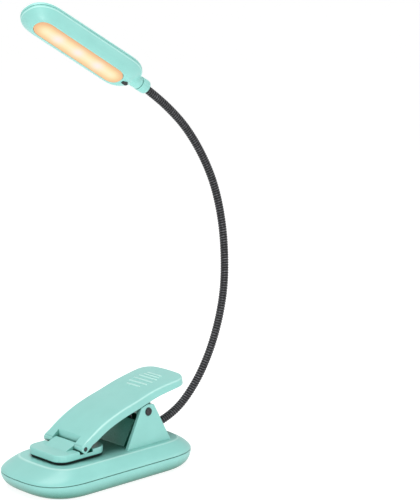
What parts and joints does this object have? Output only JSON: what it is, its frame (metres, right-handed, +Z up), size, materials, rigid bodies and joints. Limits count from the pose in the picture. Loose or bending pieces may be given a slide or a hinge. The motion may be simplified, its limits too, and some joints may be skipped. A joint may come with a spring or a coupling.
{
  "type": "clip-on reading lamp",
  "caption": "Clip-on reading lamp: weighted base with a spring lever clip, flexible gooseneck and slim rounded head with a warm diffuser.",
  "frame": {"origin": "middle of the foot pad's underside, on the surface the base stands on", "axes": "+Z up; +X from the mouth of the clip towards the gooseneck; +Y across the clip"},
  "size_m": [0.1548, 0.057, 0.2594],
  "materials": {
    "mint_plastic": "satin",
    "black_rubber": "matte",
    "black_metal": "satin",
    "steel": "satin",
    "neck_black": "satin",
    "black_plastic": "satin",
    "diffuser": "satin",
    "board": "satin",
    "led": "gloss",
    "battery_wrap": "satin"
  },
  "bodies": {
    "base": {"base_top_cover": "mint_plastic", "base_bottom_cover": "mint_plastic", "foot_pad": "black_rubber", "ballast_plate": "steel", "battery_cell": "battery_wrap", "control_board": "board", "charge_socket": "steel", "base_screw_1": "steel", "base_screw_2": "steel", "base_screw_3": "steel", "base_screw_4": "steel", "hinge_pin": "black_metal", "return_spring": "steel", "neck_ferrule": "steel", "neck_segment_0": "neck_black"},
    "lever": {"lever": "mint_plastic", "jaw_pin": "black_metal"},
    "jaw": {"jaw_plate": "mint_plastic", "jaw_pad": "black_rubber"},
    "neck_1": {"neck_segment_1": "neck_black"},
    "neck_2": {"neck_segment_2": "neck_black"},
    "neck_3": {"neck_segment_3": "neck_black"},
    "neck_4": {"neck_segment_4": "neck_black"},
    "neck_5": {"neck_segment_5": "neck_black"},
    "neck_6": {"neck_segment_6": "neck_black", "neck_collar": "mint_plastic"},
    "head": {"head_bottom_shell": "mint_plastic", "head_top_shell": "mint_plastic", "lens": "diffuser", "led_board": "board", "led_1": "led", "led_2": "led", "led_3": "led", "button_switch": "black_plastic", "head_screw_1": "steel", "head_screw_2": "steel"},
    "button": {"power_button": "black_plastic"}
  },
  "joints": [
    {"name": "lever_hinge", "type": "hinge", "parent": "base", "child": "lever", "pos_m": [0.0228, 0, 0.0344], "axis": [0, 1, 0], "range_deg": [0, 24], "stiffness_Nm_per_rad": 0.25, "springref_deg": -28.65, "deforming": ["return_spring"]},
    {"name": "jaw_pivot", "type": "hinge", "parent": "lever", "child": "jaw", "pos_m": [-0.0219, 0, 0.0226], "axis": [0, 1, 0], "range_deg": [-24, 0]},
    {"name": "neck_bend_1", "type": "hinge", "parent": "base", "child": "neck_1", "pos_m": [0.05577, 0, 0.02375], "axis": [0, 1, 0], "range_deg": [-20, 20]},
    {"name": "neck_sway_1", "type": "hinge", "parent": "neck_1", "child": "neck_2", "pos_m": [0.08398, 0, 0.05263], "axis": [-0.876, 0, 0.4824], "range_deg": [-30, 30]},
    {"name": "neck_bend_2", "type": "hinge", "parent": "neck_2", "child": "neck_3", "pos_m": [0.09635, 0, 0.09149], "axis": [0, 1, 0], "range_deg": [-25, 20]},
    {"name": "neck_sway_2", "type": "hinge", "parent": "neck_3", "child": "neck_4", "pos_m": [0.09394, 0, 0.13229], "axis": [-0.9781, 0, -0.2083], "range_deg": [-30, 30]},
    {"name": "neck_bend_3", "type": "hinge", "parent": "neck_4", "child": "neck_5", "pos_m": [0.07845, 0, 0.17002], "axis": [0, 1, 0], "range_deg": [-30, 20]},
    {"name": "neck_sway_3", "type": "hinge", "parent": "neck_5", "child": "neck_6", "pos_m": [0.05075, 0, 0.2], "axis": [-0.6169, 0, -0.7871], "range_deg": [-35, 35]},
    {"name": "head_turn", "type": "hinge", "parent": "neck_6", "child": "head", "pos_m": [0.0321, 0, 0.2131], "axis": [-0.8704, 0, 0.4924], "range_deg": [-45, 45]},
    {"name": "button_press", "type": "slide", "parent": "head", "child": "button", "axis": [0.3984, 0.5878, 0.7041], "range_m": [0, 0.0006], "stiffness_N_per_m": 400}
  ],
  "couplings": [
    {"joint": "jaw_pivot", "follows": "lever_hinge", "ratio": -1}
  ]
}
